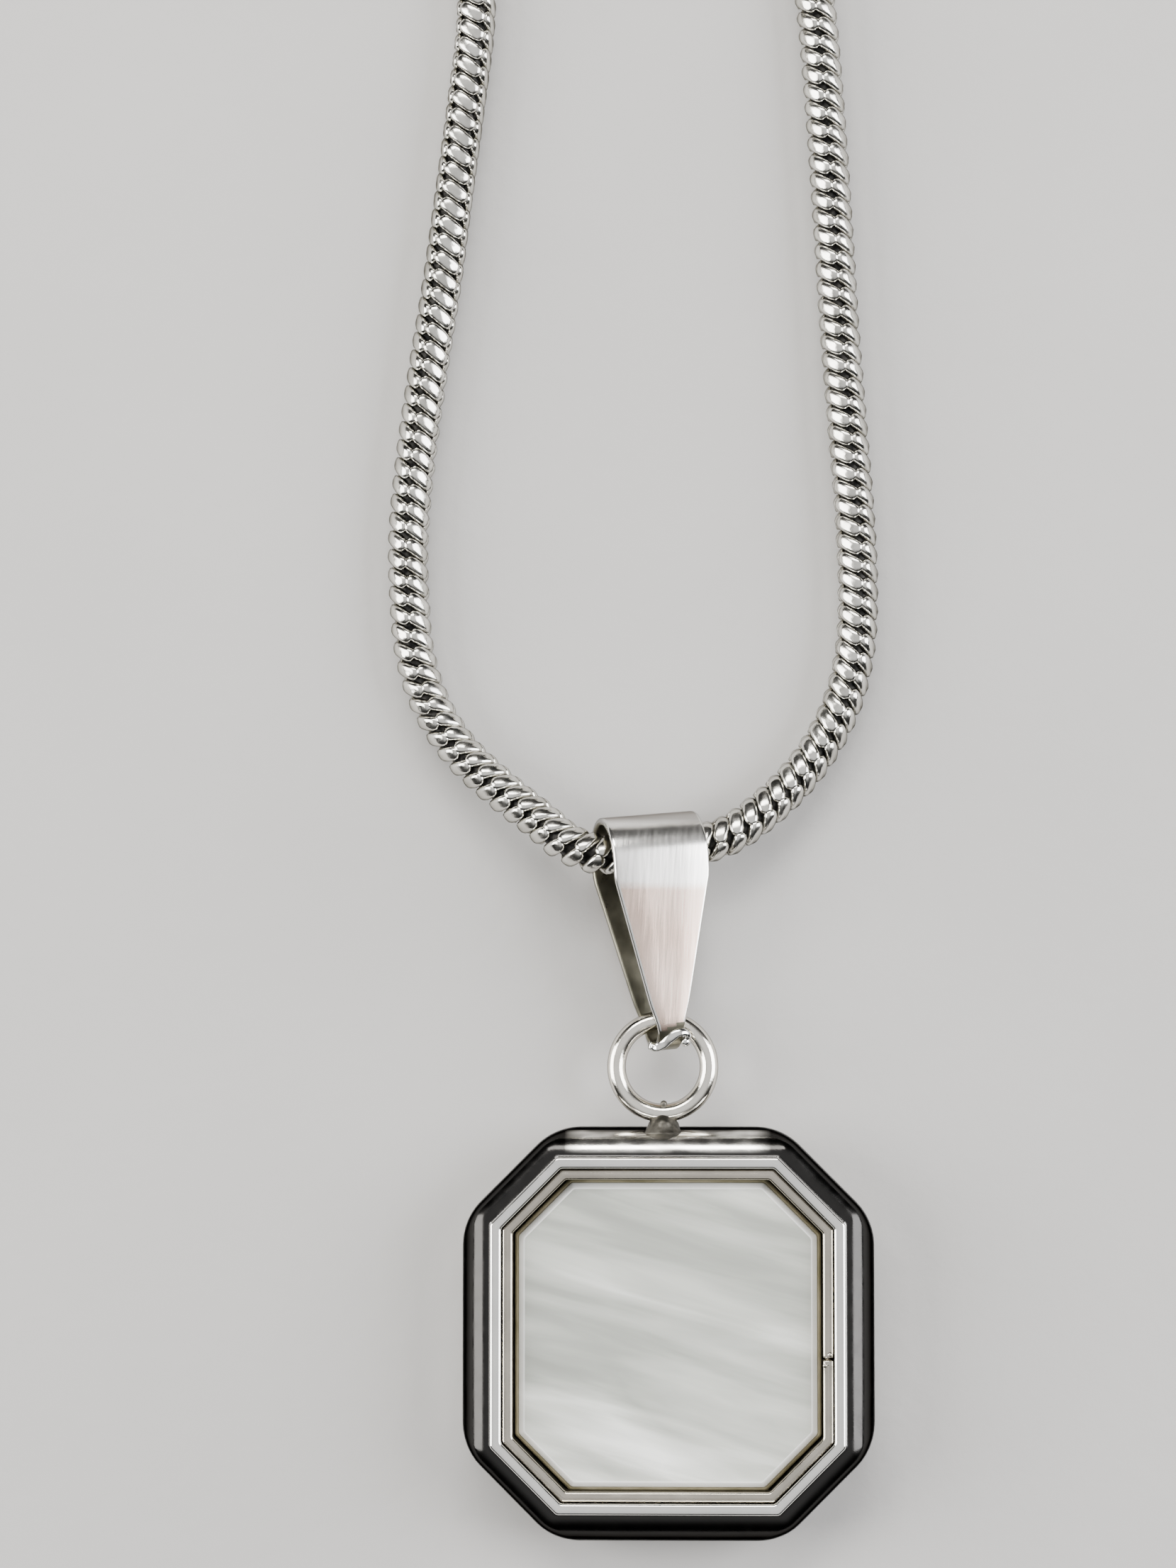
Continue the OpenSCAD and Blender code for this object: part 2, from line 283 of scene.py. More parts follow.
def nacre(name, lift):
    """Mother of pearl: silky bands that run down to the right, with finer streaks along them.
    lift is how far every shade is moved towards white."""
    s = Shader(name, (0.5, 0.51, 0.48), 0.0, 0.35, Coat_Weight=0.2, Coat_Roughness=0.15,
               Specular_IOR_Level=0.4)
    drift = s.range(s.noise(110, 2, stretch=(0.8, 1.6, 1), turn=BAND_TURN), -BAND_DRIFT, BAND_DRIFT)
    across = s.maths("ADD", s.along("Y", turn=BAND_TURN), drift)
    place = s.range(across, 0, 1, source=(-BAND_REACH, BAND_REACH))
    bands = s.ramp(place, *((at, (grey,) * 3) for at, grey in BANDS))
    streak = s.noise(170, 4, stretch=(0.45, 3.6, 1), turn=STREAK_TURN, distortion=0.3)
    both = s.mix(0.38, bands, s.range(streak, 0, 1))
    lifted = ((at, tuple(lift + (1 - lift) * c for c in shade)) for at, shade in SHADES)
    s.use(Base_Color=s.ramp(both, *lifted),
          Roughness=s.range(both, 0.45, 0.28, source=(0, 1)),
          Normal=s.bump(both, 0.00002, 0.4))
    return s.material


def glue():
    """Dark olive glue, which shows as a dark line in the gap round the shell."""
    s = Shader("dark_olive_glue", (0.30, 0.27, 0.17), 0, 0.35)
    color = s.ramp(s.noise(600, 3), (0.3, (0.20, 0.18, 0.10)), (0.7, (0.38, 0.34, 0.23)))
    s.use(Base_Color=color, Normal=s.bump(s.noise(1200, 3), 0.00003))
    return s.material


def spring_metal():
    """Grey wire of the clasp's spring."""
    s = Shader("spring_wire", (0.42, 0.41, 0.40), 1, 0.3)
    color = s.ramp(s.noise(2500, 3), (0.3, (0.25, 0.24, 0.23)), (0.7, (0.5, 0.49, 0.47)))
    s.use(Base_Color=color, Normal=s.bump(s.noise(3500, 3), 0.00001))
    return s.material


def paper():
    """The pale floor."""
    s = Shader("pale_floor", (0.44, 0.43, 0.42), 0, 0.75)
    color = s.ramp(s.noise(60, 4), (0.3, (0.43, 0.42, 0.41)), (0.7, (0.45, 0.44, 0.43)))
    s.use(Base_Color=color, Normal=s.bump(s.noise(900, 4), 0.00004))
    return s.material


STEEL = polished("polished_steel", (0.90, 0.89, 0.86), 0.12, 0.08, 0.000002)
# The case's steel, with its dark and bright reflections painted in
BODY_STEEL_PAINTED_REFLECTIONS = body_metal_painted_reflections()
STRIP_STEEL = polished("strip_steel", (0.54, 0.50, 0.43), 0.16, 0.16, 0.000004)
RING_STEEL = polished("ring_steel", (0.90, 0.86, 0.78), 0.13, 0.14, 0.000004)
CHAIN = chain_metal()
# The chain's core, painted near black as the shade between the links
DARK_PAINTED_SHADE = dark_metal_painted_shade()
# The bail's satin, with a painted highlight and painted shade
SATIN_PAINTED_LIGHT = satin_metal_painted_light()
# The bail's inside, coloured dark as painted shade
INNER_PAINTED_SHADE = inner_metal_painted_shade()
SOLDER = solder_metal()
NACRE = nacre("mother_of_pearl", 0)
# The shell's bevel, painted paler as the highlight it would catch
NACRE_EDGE_PAINTED_HIGHLIGHT = nacre("pearl_edge_painted_highlight", 0.55)
GLUE = glue()
SPRING = spring_metal()


# ---------------------------------------------------------------- mesh helpers

def piece(name, points, faces, materials, body, nodes, slots=None):
    """A smooth-shaded mesh piece from points in millimetres, riding on a body. Every closed part
    of it is turned so that its faces look outwards. slots is each face's place in materials."""
    mesh = bpy.data.meshes.new(name)
    mesh.from_pydata([tuple(MM * c for c in p) for p in points], [], faces)
    for m in materials:
        mesh.materials.append(m)
    if slots is not None:
        mesh.polygons.foreach_set("material_index", slots)
    mesh.polygons.foreach_set("use_smooth", [True] * len(mesh.polygons))
    mesh.validate()
    parts = bmesh.new()
    parts.from_mesh(mesh)
    bmesh.ops.recalc_face_normals(parts, faces=parts.faces)
    parts.to_mesh(mesh)
    parts.free()
    obj = bpy.data.objects.new(name, mesh)
    bpy.context.scene.collection.objects.link(obj)
    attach(obj, body)
    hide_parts(*nodes)
    return obj


def loft(rings, closed_path=False):
    """Points and faces of a skin over rings that all have as many points. The last two faces
    close the first and the last ring, unless the path is closed and joins them."""
    n = len(rings[0])
    points = [p for ring in rings for p in ring]
    faces = []
    last = len(rings) if closed_path else len(rings) - 1
    for i in range(last):
        a, b = i * n, (i + 1) % len(rings) * n
        for k in range(n):
            m = (k + 1) % n
            faces.append((a + k, a + m, b + m, b + k))
    if not closed_path:
        faces.append(tuple(range(n - 1, -1, -1)))
        faces.append(tuple(range((len(rings) - 1) * n, len(rings) * n)))
    return points, faces


def joined(*skins):
    """Points and faces of several skins as one."""
    points, faces = [], []
    for more_points, more_faces in skins:
        faces += [tuple(len(points) + v for v in f) for f in more_faces]
        points += more_points
    return points, faces


def round_angles(count):
    """Angles at even distances all the way round."""
    return [2 * math.pi * k / count for k in range(count)]


def ball(middle, radius):
    """A small drop of metal, a little flattened."""
    steps, tip, flat = 8, 0.04, 0.85
    rings = []
    for i in range(steps + 1):
        t = math.pi * (tip + (1 - 2 * tip) * i / steps)
        rings.append([(middle[0] + radius * math.sin(t) * math.cos(b),
                       middle[1] + radius * math.sin(t) * math.sin(b),
                       middle[2] + flat * radius * math.cos(t)) for b in round_angles(16)])
    return loft(rings)


def spline(points, step):
    """Points at even distances along a smooth curve through the given ones, and its length."""
    pieces = 16
    p = [Vector(q) for q in points]
    p = [2 * p[0] - p[1]] + p + [2 * p[-1] - p[-2]]
    fine = []
    for i in range(1, len(p) - 2):
        knots = [0.0]
        for a, b in zip(p[i - 1:i + 2], p[i:i + 3]):
            knots.append(knots[-1] + math.sqrt((b - a).length))
        t0, t1, t2, t3 = knots
        for j in range(pieces):
            t = t1 + (t2 - t1) * j / pieces
            a1 = p[i - 1].lerp(p[i], (t - t0) / (t1 - t0))
            a2 = p[i].lerp(p[i + 1], (t - t1) / (t2 - t1))
            a3 = p[i + 1].lerp(p[i + 2], (t - t2) / (t3 - t2))
            b1 = a1.lerp(a2, (t - t0) / (t2 - t0))
            b2 = a2.lerp(a3, (t - t1) / (t3 - t1))
            fine.append(b1.lerp(b2, (t - t1) / (t2 - t1)))
    fine.append(p[-2])
    line = np.array([tuple(q) for q in fine])
    far = np.concatenate([[0], np.cumsum(np.linalg.norm(np.diff(line, axis=0), axis=1))])
    count = max(2, round(far[-1] / step))
    at = np.linspace(0, far[-1], count + 1)
    return np.stack([np.interp(at, far, line[:, k]) for k in range(3)], axis=1), far[-1]


# ---------------------------------------------------------------- chain

# The route, in millimetres, as the CAD has it: two loose stretches, a coil's turns and two tails
COIL_AT = (-1, 84.5)
INNER_R, OUTER_R = 10.6, 12.8
LOW_Z, HIGH_Z = 1.0, 3.1
TURN_STEP = 20

PASSAGE = (-0.85, 23.45, 2.8)
LEFT_LOOSE = [
    PASSAGE, (-3.2, 23.2, 3.3), (-4.8, 23.72, 3.1), (-6.25, 24.9, 2.5), (-8.35, 26.6, 1.8),
    (-10.3, 28.5, 1.25), (-11.65, 30.65, 1), (-12.45, 33.1, 1), (-12.75, 36, 1), (-12.8, 39, 1),
    (-12.45, 43, 1), (-11.9, 47, 1), (-11.2, 51.5, 1), (-10.6, 56, 1), (-10, 60.5, 1),
    (-9.5, 65, 1), (-9.65, 69, 1), (-10.4, 72.3, 1), (-11.4, 75, 1),
]
RIGHT_LOOSE = [
    PASSAGE, (1.2, 23.65, 2.5), (2.9, 24.15, 2.2), (4.3, 25.1, 1.85), (6, 26.65, 1.4),
    (7.5, 28.6, 1.1), (8.6, 30.85, 1), (9.2, 33.4, 1), (9.35, 36.5, 1), (9.2, 40, 1),
    (8.85, 44.5, 1), (8.5, 49, 1), (8.2, 54, 1), (7.85, 59.5, 1), (7.4, 65, 1),
    (7, 67.9, 1), (6.1, 70, 1), (4.4, 71.4, 1), (2.4, 72.4, 1), (-0.2, 73.3, 1),
]
TAIL_LEFT = [
    (-1.1, 97.9, 3.1), (1.1, 98.4, 2.9), (3.2, 98.6, 2.2), (5.2, 98.3, 1.5), (7, 97.4, 1.15),
]
TAIL_RIGHT = [
    (7.0, 78.9, 3.0), (4.5, 77.4, 2.4), (2.2, 76.6, 1.7), (-0.3, 76.2, 1.25), (-2.7, 76.6, 1.15),
    (-4.3, 77.7, 1.15), (-5.1, 79.1, 1.15), (-5.2, 80.6, 1.15),
]


def turns(radius, start, end, heights):
    """Points clockwise round the coil from one angle to another, at heights given by angle."""
    count = round((start - end) / TURN_STEP)
    angles = np.linspace(start, end, count + 1)
    z = np.interp(-angles, [-a for a, _ in heights], [h for _, h in heights])
    return [(COIL_AT[0] + radius * math.cos(math.radians(a)),
             COIL_AT[1] + radius * math.sin(math.radians(a)), float(h))
            for a, h in zip(angles, z)]


LEFT_COIL = turns(OUTER_R, 205, -249, [(205, LOW_Z), (-15, LOW_Z), (-57, HIGH_Z), (-88, HIGH_Z),
                                       (-112, 2.85), (-136, HIGH_Z)])
RIGHT_COIL = turns(INNER_R, 256, -376, [(256, LOW_Z), (-30, LOW_Z), (-72, HIGH_Z)])

# The distance between one row's links, and the radius and sides of the dark middle, a core
# painted near black as the shade between the links
PITCH = 0.9
CORE_R, CORE_SIDES = 0.62, 8
# A bead is a link's visible back. Its half sizes are along it, across it and up, and it sits with
# its middle at BEAD_R. Powers under 1 make its outline and its section fuller than an ellipse.
BEAD_HALF = (0.76, 0.378, 0.28)
BEAD_R = 0.69
BEAD_POWER_ALONG, BEAD_POWER_ACROSS, BEAD_POWER_UP, BEAD_POWER_REACH = 0.8, 0.62, 0.75, 0.65
BEAD_SLANT = math.radians(31)
BEAD_WRAP = 5.0
BEAD_SIDES = 12
BEAD_RINGS = (18, 40, 58, 74, 90, 116)
GROOVE_DEPTH, GROOVE_HALF, GROOVE_END = 0.05, 0.13, 0.1


def bead_shape():
    """One bead: a slanted, rounded pad with a shallow groove along one half of it.
    Columns are: round the chain, along it, and out from its middle."""
    rows = [(0.0, 0.0)] + [(r, 360 * k / BEAD_SIDES) for r in BEAD_RINGS for k in range(BEAD_SIDES)]
    rows.append((180.0, 0.0))
    out = []
    for polar, round_ in rows:
        polar, round_ = math.radians(polar), math.radians(round_)
        reach = math.sin(polar) ** BEAD_POWER_REACH
        cx, cy = math.cos(round_), math.sin(round_)
        p = BEAD_HALF[0] * reach * math.copysign(abs(cx) ** BEAD_POWER_ALONG, cx)
        q = BEAD_HALF[1] * reach * math.copysign(abs(cy) ** BEAD_POWER_ACROSS, cy)
        h = BEAD_HALF[2] * math.copysign(abs(math.cos(polar)) ** BEAD_POWER_UP, math.cos(polar))
        groove = (math.exp(-(q / GROOVE_HALF) ** 2)
                  * (0.5 - 0.5 * math.tanh(4 * (p + GROOVE_END))))
        if h > 0:
            h -= GROOVE_DEPTH * groove * math.cos(polar)
        u = -p * math.cos(BEAD_SLANT) + q * math.sin(BEAD_SLANT)
        v = p * math.sin(BEAD_SLANT) + q * math.cos(BEAD_SLANT)
        out.append((u, v, BEAD_R + h - u * u / BEAD_WRAP))
    return np.array(out)


def bead_faces():
    """The faces between the points of bead_shape."""
    n = BEAD_SIDES
    faces = [(0, 1 + k, 1 + (k + 1) % n) for k in range(n)]
    for i in range(len(BEAD_RINGS) - 1):
        a, b = 1 + i * n, 1 + (i + 1) * n
        faces += [(a + k, b + k, b + (k + 1) % n, a + (k + 1) % n) for k in range(n)]
    end = 1 + len(BEAD_RINGS) * n
    a = end - n
    faces += [(end, a + (k + 1) % n, a + k) for k in range(n)]
    return faces


def chain(name, route, twist_at, twist, nodes):
    """A woven chain along a route: four rows of beads round a middle painted dark as shade. twist is
    the first row's turn from straight up, in degrees, at the distances along the chain in twist_at.
    Returned are the piece, its path in metres and its length in millimetres."""
    line, length = spline(route, PITCH / 2)
    slope = np.gradient(line, axis=0)
    slope /= np.linalg.norm(slope, axis=1)[:, None]
    up = np.array([0, 0, 1.0]) - slope[:, 2:3] * slope
    up /= np.linalg.norm(up, axis=1)[:, None]
    side = np.cross(slope, up)
    far = np.linspace(0, length, len(line))
    turn = np.interp(far, twist_at, twist)

    bead, faces_one = bead_shape(), bead_faces()
    links = []
    for i in range(1, 2 * (len(line) // 2) - 1):
        for k in range(4):
            if (i + k) % 2:
                continue
            a = math.radians(turn[i] + 90 * k)
            out = up[i] * math.cos(a) + side[i] * math.sin(a)
            across = side[i] * math.cos(a) - up[i] * math.sin(a)
            spots = line[i] + bead[:, 0:1] * across + bead[:, 1:2] * slope[i] + bead[:, 2:3] * out
            links.append(([tuple(p) for p in spots], faces_one))

    # The core is painted near black as the shade between the links
    core = loft([[tuple(line[i] + CORE_R * (up[i] * math.cos(a) + side[i] * math.sin(a)))
                  for a in round_angles(CORE_SIDES)] for i in range(len(line))])
    points, faces = joined(*links, core)
    slots = [0] * (len(faces) - len(core[1])) + [1] * len(core[1])
    obj = piece(name, points, faces, [CHAIN, DARK_PAINTED_SHADE], "chain", nodes, slots)
    return obj, [tuple(MM * c for c in p) for p in line], length


left_chain, left_path, left_length = chain(
    "chain_left_links", LEFT_LOOSE + LEFT_COIL + TAIL_LEFT,
    (0, 10, 18, 30, 50, 220), (-52, -55, -45, -60, -105, -300),
    ("chain_left", "chain_coil", "tail_left"))
right_chain, right_path, right_length = chain(
    "chain_right_links", RIGHT_LOOSE + RIGHT_COIL + TAIL_RIGHT,
    (0, 20, 30, 50, 220), (-28, -30, -36, -47, -250),
    ("chain_right", "tail_right"))


# ---------------------------------------------------------------- case, strip and shell

CASE_W, CASE_T, BACK_W, GIRTH_Z = 20.0, 4.6, 17.0, 1.9
CASE_LEG, CASE_ROUND = 4.5, 3
RIM_W, RIM_LEG, RIM_WALL, RIM_BASE_Z = 17.1, 3.2, 0.55, 3.7
POCKET_Z = 1.8
STRIP_WALL, STRIP_GAP, STRIP_DROP = 0.5, 0.04, 0.35
SHELL_W, SHELL_H, SHELL_LEG = 14.4, 14.6, 2.55
SHELL_LOW_Z, SHELL_HIGH_Z = 2.05, 3.55
# How much shorter the cut off leg of an outline gets for each millimetre that it is inset
CUT = 2 - math.sqrt(2)
# Points on the arc of each corner, and on each side between two arcs
ARC_POINTS, SIDE_POINTS = 7, 3

# The strip's seam: its middle, half its gap, and half the stretch that its own sections fill.
# Each of those sections has a distance from the gap, a lift of its top, and its share of the wall.
SEAM_Y, SEAM_HALF, SEAM_REACH = -1.1, 0.05, 1
ABOVE_SEAM = ((0, 0.03, 0.86), (0.05, 0.05, 1), (0.22, 0, 1))
BELOW_SEAM = ((0.30, 0, 1), (0.06, 0.06, 1), (0, 0.01, 0.84))
BURRS = (((7.78, -0.9, 4.2), 0.13), ((7.66, -1.02, 4.19), 0.11),
         ((7.56, -1.42, 4.17), 0.12), ((7.7, -1.36, 4.2), 0.09))


def octagon(width, height, leg, corner, z):
    """A ring of points round a rectangle with cut corners, anticlockwise from the upper end of
    its +X side. leg is what a cut takes off a side, and corner is the radius at its ends."""
    x, y = width / 2, height / 2
    corners = [(x, y - leg), (x - leg, y), (leg - x, y), (-x, y - leg),
               (-x, leg - y), (leg - x, -y), (x - leg, -y), (x, leg - y)]
    reach = corner * math.tan(math.radians(22.5))
    ring = []
    for i, c in enumerate(corners):
        before, after = Vector(corners[i - 1]), Vector(corners[(i + 1) % 8])
        c = Vector(c)
        a = c + (before - c).normalized() * reach
        b = c + (after - c).normalized() * reach
        heading = (c - before).normalized()
        middle = a + Vector((-heading.y, heading.x)) * corner
        for k in range(ARC_POINTS):
            angle = math.radians(45 * k / (ARC_POINTS - 1))
            spoke = a - middle
            ring.append((middle.x + spoke.x * math.cos(angle) - spoke.y * math.sin(angle),
                         middle.y + spoke.x * math.sin(angle) + spoke.y * math.cos(angle), z))
        for k in range(1, SIDE_POINTS + 1):
            spot = b.lerp(after + (c - after).normalized() * reach, k / (SIDE_POINTS + 1))
            ring.append((spot.x, spot.y, z))
    return ring


def rim_ring(inset, z, corner):
    """An outline that lies a distance inside the rim's."""
    return octagon(RIM_W - 2 * inset, RIM_W - 2 * inset, RIM_LEG - inset * CUT, corner, z)


def shell_ring(inset, z):
    """An outline that lies a distance inside the shell's."""
    return octagon(SHELL_W - 2 * inset, SHELL_H - 2 * inset, SHELL_LEG - inset * CUT, 0.25, z)


def lip(wall, top, edge, crown):
    """A wall's top from its outer side to its inner one: nearly flat, with rounded edges.
    Each spot is a distance from the outer side and a height."""
    steps = 6
    rounded = []
    for i in range(steps + 1):
        t = math.radians(90 * i / steps)
        rounded.append((edge * (1 - math.cos(t)), top - crown - edge * (1 - math.sin(t))))
    crest = [(wall * 0.4, top - crown * 0.2), (wall * 0.5, top), (wall * 0.6, top - crown * 0.2)]
    return rounded + crest + [(wall - inset, z) for inset, z in reversed(rounded)]


def make_case():
    """The case from its back to its rim, and on down into the pocket."""
    below, above, corner = 14, 18, 0.28
    rings = [octagon(w, w, CASE_LEG * w / BACK_W, CASE_ROUND * w / BACK_W, 0) for w in (4, 12, 16.6)]
    for i in range(below + 1):
        t = math.radians(90 * i / below)
        w = BACK_W + (CASE_W - BACK_W) * math.sin(t)
        rings.append(octagon(w, w, CASE_LEG, CASE_ROUND, GIRTH_Z * (1 - math.cos(t))))
    for i in range(1, above + 1):
        t = math.radians(89 * i / above)
        w = RIM_W + (CASE_W - RIM_W) * math.cos(t)
        s = math.sin(t) ** 2
        rings.append(octagon(w, w, CASE_LEG + (RIM_LEG - CASE_LEG) * s,
                             CASE_ROUND + (0.3 - CASE_ROUND) * s,
                             GIRTH_Z + (RIM_BASE_Z - GIRTH_Z) * math.sin(t)))
    body_rings = len(rings) - 1
    rings.append(rim_ring(0, RIM_BASE_Z + 0.03, corner))
    rings += [rim_ring(inset, z, corner) for inset, z in lip(RIM_WALL, CASE_T, 0.15, 0.02)]
    rings.append(rim_ring(RIM_WALL, POCKET_Z + 0.1, 0.2))
    rings.append(rim_ring(RIM_WALL + 0.1, POCKET_Z, 0.2))
    rings.append(rim_ring(4, POCKET_Z, 0.1))
    points, faces = loft(rings)
    slots = [0 if i < body_rings * len(rings[0]) else 1 for i in range(len(faces))]
    slots[-2] = 0
    return piece("case_shell", points, faces, [BODY_STEEL_PAINTED_REFLECTIONS, STEEL], "pendant",
                 ["pendant_case"], slots)


def make_strip():
    """The strip's cross-section, swept round the octagon from one side of its seam to the other,
    and the burrs at the seam."""
    outer, low = RIM_WALL + STRIP_GAP, POCKET_Z
    profile = [(0, low)] + lip(STRIP_WALL, CASE_T - STRIP_DROP, 0.13, 0.03) + [(STRIP_WALL, low)]
    columns = [rim_ring(outer + d, z, 0.25) for d, z in profile]
    seam_angle = math.atan2(SEAM_Y, RIM_W / 2)

    def from_seam(section):
        return (math.atan2(section[0][1], section[0][0]) - seam_angle) % (2 * math.pi)

    def by_seam(section):
        return section[0][0] > 0 and abs(section[0][1] - SEAM_Y) < SEAM_REACH

    def seam_end(y, lift, share):
        middle = STRIP_WALL / 2
        return [(RIM_W / 2 - outer - (middle + (d - middle) * share), y,
                 z + (lift if z > low + 1 else 0)) for d, z in profile]

    sections = sorted((s for s in zip(*columns) if not by_seam(s)), key=from_seam)
    start = [seam_end(SEAM_Y + SEAM_HALF + far, lift, share) for far, lift, share in ABOVE_SEAM]
    end = [seam_end(SEAM_Y - SEAM_HALF - far, lift, share) for far, lift, share in BELOW_SEAM]
    points, faces = joined(loft(start + sections + end), *(ball(*burr) for burr in BURRS))
    return piece("strip_ring", points, faces, [STRIP_STEEL], "pendant",
                 ["bezel_strip"])


def make_shell():
    """The shell panel, with a bevel round its top that has rounded edges and is painted paler as
    a highlight.
    """
    bevel = ((0, 0.30), (0.005, 0.25), (0.03, 0.21), (0.21, 0.035), (0.245, 0.01), (0.30, 0))
    rings = [shell_ring(inset, SHELL_LOW_Z + up) for inset, up in ((2, 0), (0.1, 0), (0, 0.1))]
    first = len(rings) - 1
    rings += [shell_ring(inset, SHELL_HIGH_Z - drop) for inset, drop in bevel]
    last = len(rings) - 1
    rings += [shell_ring(inset, SHELL_HIGH_Z) for inset in (1.5, 3.5)]
    points, faces = loft(rings)
    # The bevel's faces take the paler pearl, a painted highlight
    slots = [1 if first <= i // len(rings[0]) < last else 0 for i in range(len(faces))]
    return piece("shell_panel", points, faces, [NACRE, NACRE_EDGE_PAINTED_HIGHLIGHT], "pendant",
                 ["shell_inlay"], slots)


def make_glue():
    """The glue under the shell, squeezed up a little all round it."""
    section = ((3, POCKET_Z), (-0.2, POCKET_Z), (-0.22, 2.6), (-0.2, 3.0), (-0.12, 3.12),
               (-0.04, 3.18), (0.02, 3.1), (0.02, SHELL_LOW_Z), (3, SHELL_LOW_Z))
    points, faces = loft([shell_ring(inset, z) for inset, z in section])
    return piece("glue_bed", points, faces, [GLUE], "pendant", ["adhesive_pad"])


# ---------------------------------------------------------------- hanger

RING_AT, RING_R, RING_WIRE = (-0.25, 12.9, 2.4), 2.25, 0.9
SOLDER_Y, SOLDER_L, SOLDER_R = 9.65, 1.05, 0.66


def make_ring():
    """The closed ring of round wire."""
    rings = []
    for a in round_angles(144):
        rings.append([(RING_AT[0] + (RING_R + RING_WIRE / 2 * math.cos(b)) * math.cos(a),
                       RING_AT[1] + (RING_R + RING_WIRE / 2 * math.cos(b)) * math.sin(a),
                       RING_AT[2] + RING_WIRE / 2 * math.sin(b)) for b in round_angles(28)])
    points, faces = loft(rings, closed_path=True)
    return piece("hanger_loop", points, faces, [RING_STEEL], "pendant",
                 ["hanger_ring"])


def make_solder():
    """A short lump of solder, wide at the case and drawn in at the ring, and a bead in the ring."""
    steps, flare, taper = 16, 0.4, 0.55
    rings = []
    for i in range(steps + 1):
        s = i / steps
        r = SOLDER_R + flare * (1 - s) ** 3
        if s > 0.5:
            r *= 1 - taper * ((s - 0.5) / 0.5) ** 1.5
        ring = []
        for a in round_angles(24):
            lump = 1 + 0.05 * math.sin(3 * a + 5 * s) + 0.04 * math.sin(5 * a - 9 * s)
            ring.append((RING_AT[0] + r * lump * math.cos(a), SOLDER_Y + SOLDER_L * s,
                         RING_AT[2] + r * lump * math.sin(a)))
        rings.append(ring)
    bead = ball((RING_AT[0] + 0.05, RING_AT[1] - 1.8, RING_AT[2] + 0.22), 0.17)
    points, faces = joined(loft(rings), bead)
    return piece("solder_lump", points, faces, [SOLDER], "pendant", ["hanger_post"])


# ---------------------------------------------------------------- bail

# The bail is made with the ring's wire at the origin: X is across it, Y along it to the fold, and
# Z towards the front. Then it is turned and moved to its hinge. Its foot is painted with the lip's
# shade below a line with a slope and a height at the middle.
HINGE = (-0.25, 15.15, 2.4)
BAIL_ROLL, BAIL_PITCH, BAIL_YAW = math.radians(18), math.radians(3), math.radians(4.5)
BAIL_T, FOLD_R, FOOT_R, BAIL_L = 0.35, 1.7, 1.1, 8.0
BAIL_W, FOOT_W, BAIL_EDGE = 4.8, 1.4, 0.14
SHADE_SLOPE, SHADE_Y = 0.45, -0.25
FOOT_STEPS, LEAF_STEPS, FOLD_STEPS, EDGE_STEPS = 24, 24, 32, 8
LIP_ROUTE = ((-1.1, -1.1), (-0.75, -1.22), (-0.4, -1.1), (-0.1, -0.84), (0.25, -0.62), (0.6, -0.6),
             (0.82, -0.78), (0.76, -0.98))
LIP_R, LIP_HALF_T, LIP_STEP = 1.53, 0.09, 0.08


def bail_path():
    """The strip's middle from the side: round the foot to the back, up the back leaf, over the
    fold and down the front leaf. Each spot is its Y, its Z and the angle that points outwards."""
    foot, fold = FOOT_R + BAIL_T / 2, FOLD_R + BAIL_T / 2
    lean = math.asin((fold - foot) / BAIL_L)

    def arc(y, radius, first, sweep, steps):
        angles = [first + sweep * i / steps for i in range(steps + 1)]
        return [(y + radius * math.cos(a), radius * math.sin(a), a) for a in angles]

    def leaf(start, end):
        shares = [i / LEAF_STEPS for i in range(1, LEAF_STEPS)]
        return [(start[0] + (end[0] - start[0]) * s, start[1] + (end[1] - start[1]) * s, end[2])
                for s in shares]

    low = arc(0, foot, math.pi / 2 + lean, math.pi - 2 * lean, FOOT_STEPS)
    high = arc(BAIL_L, fold, -math.pi / 2 - lean, math.pi + 2 * lean, FOLD_STEPS)
    return low + leaf(low[-1], high[0]) + high + leaf(high[-1], low[0])


def bail_half(y):
    """Half the strip's width: narrow at the foot, and full a millimetre below the fold's middle."""
    s = min(1, max(0, (y + FOOT_R / 2) / (BAIL_L - 1 + FOOT_R / 2)))
    pinch = 0.9 + 0.1 * min(1, max(0, y + 0.2))
    return (FOOT_W + (BAIL_W - FOOT_W) * s) / 2 * pinch


def bail_outline(half):
    """The strip's cross-section with rounded edges: its outer side, and then its inner one."""
    top = BAIL_T / 2
    edge = []
    for i in range(EDGE_STEPS + 1):
        t = math.pi / 2 * i / EDGE_STEPS
        edge.append((half - BAIL_EDGE + BAIL_EDGE * math.sin(t),
                     top - BAIL_EDGE + BAIL_EDGE * math.cos(t)))
    outer = [(-u, v) for u, v in reversed(edge)] + [(-half / 3, top), (half / 3, top)] + edge
    return outer + [(u, -v) for u, v in reversed(outer)]


def bail_slots(points, faces, around):
    """Satin on the outer side, painted shade inside and on the foot in the lip's shade, steel on
    the edges.
    """
    satin, inner, steel = 0, 1, 2
    slots = []
    for face in faces:
        k = face[0] % around
        x, y, z = np.mean([points[v] for v in face], axis=0)
        # The front of the foot below the line takes the painted shade
        shaded = z > 0 and y < SHADE_SLOPE * x + SHADE_Y and face[0] < (FOOT_STEPS + 1) * around
        if around / 2 <= k < around - 1 or shaded:
            slots.append(inner)
        elif EDGE_STEPS <= k <= EDGE_STEPS + 2:
            slots.append(satin)
        else:
            slots.append(steel)
    return slots


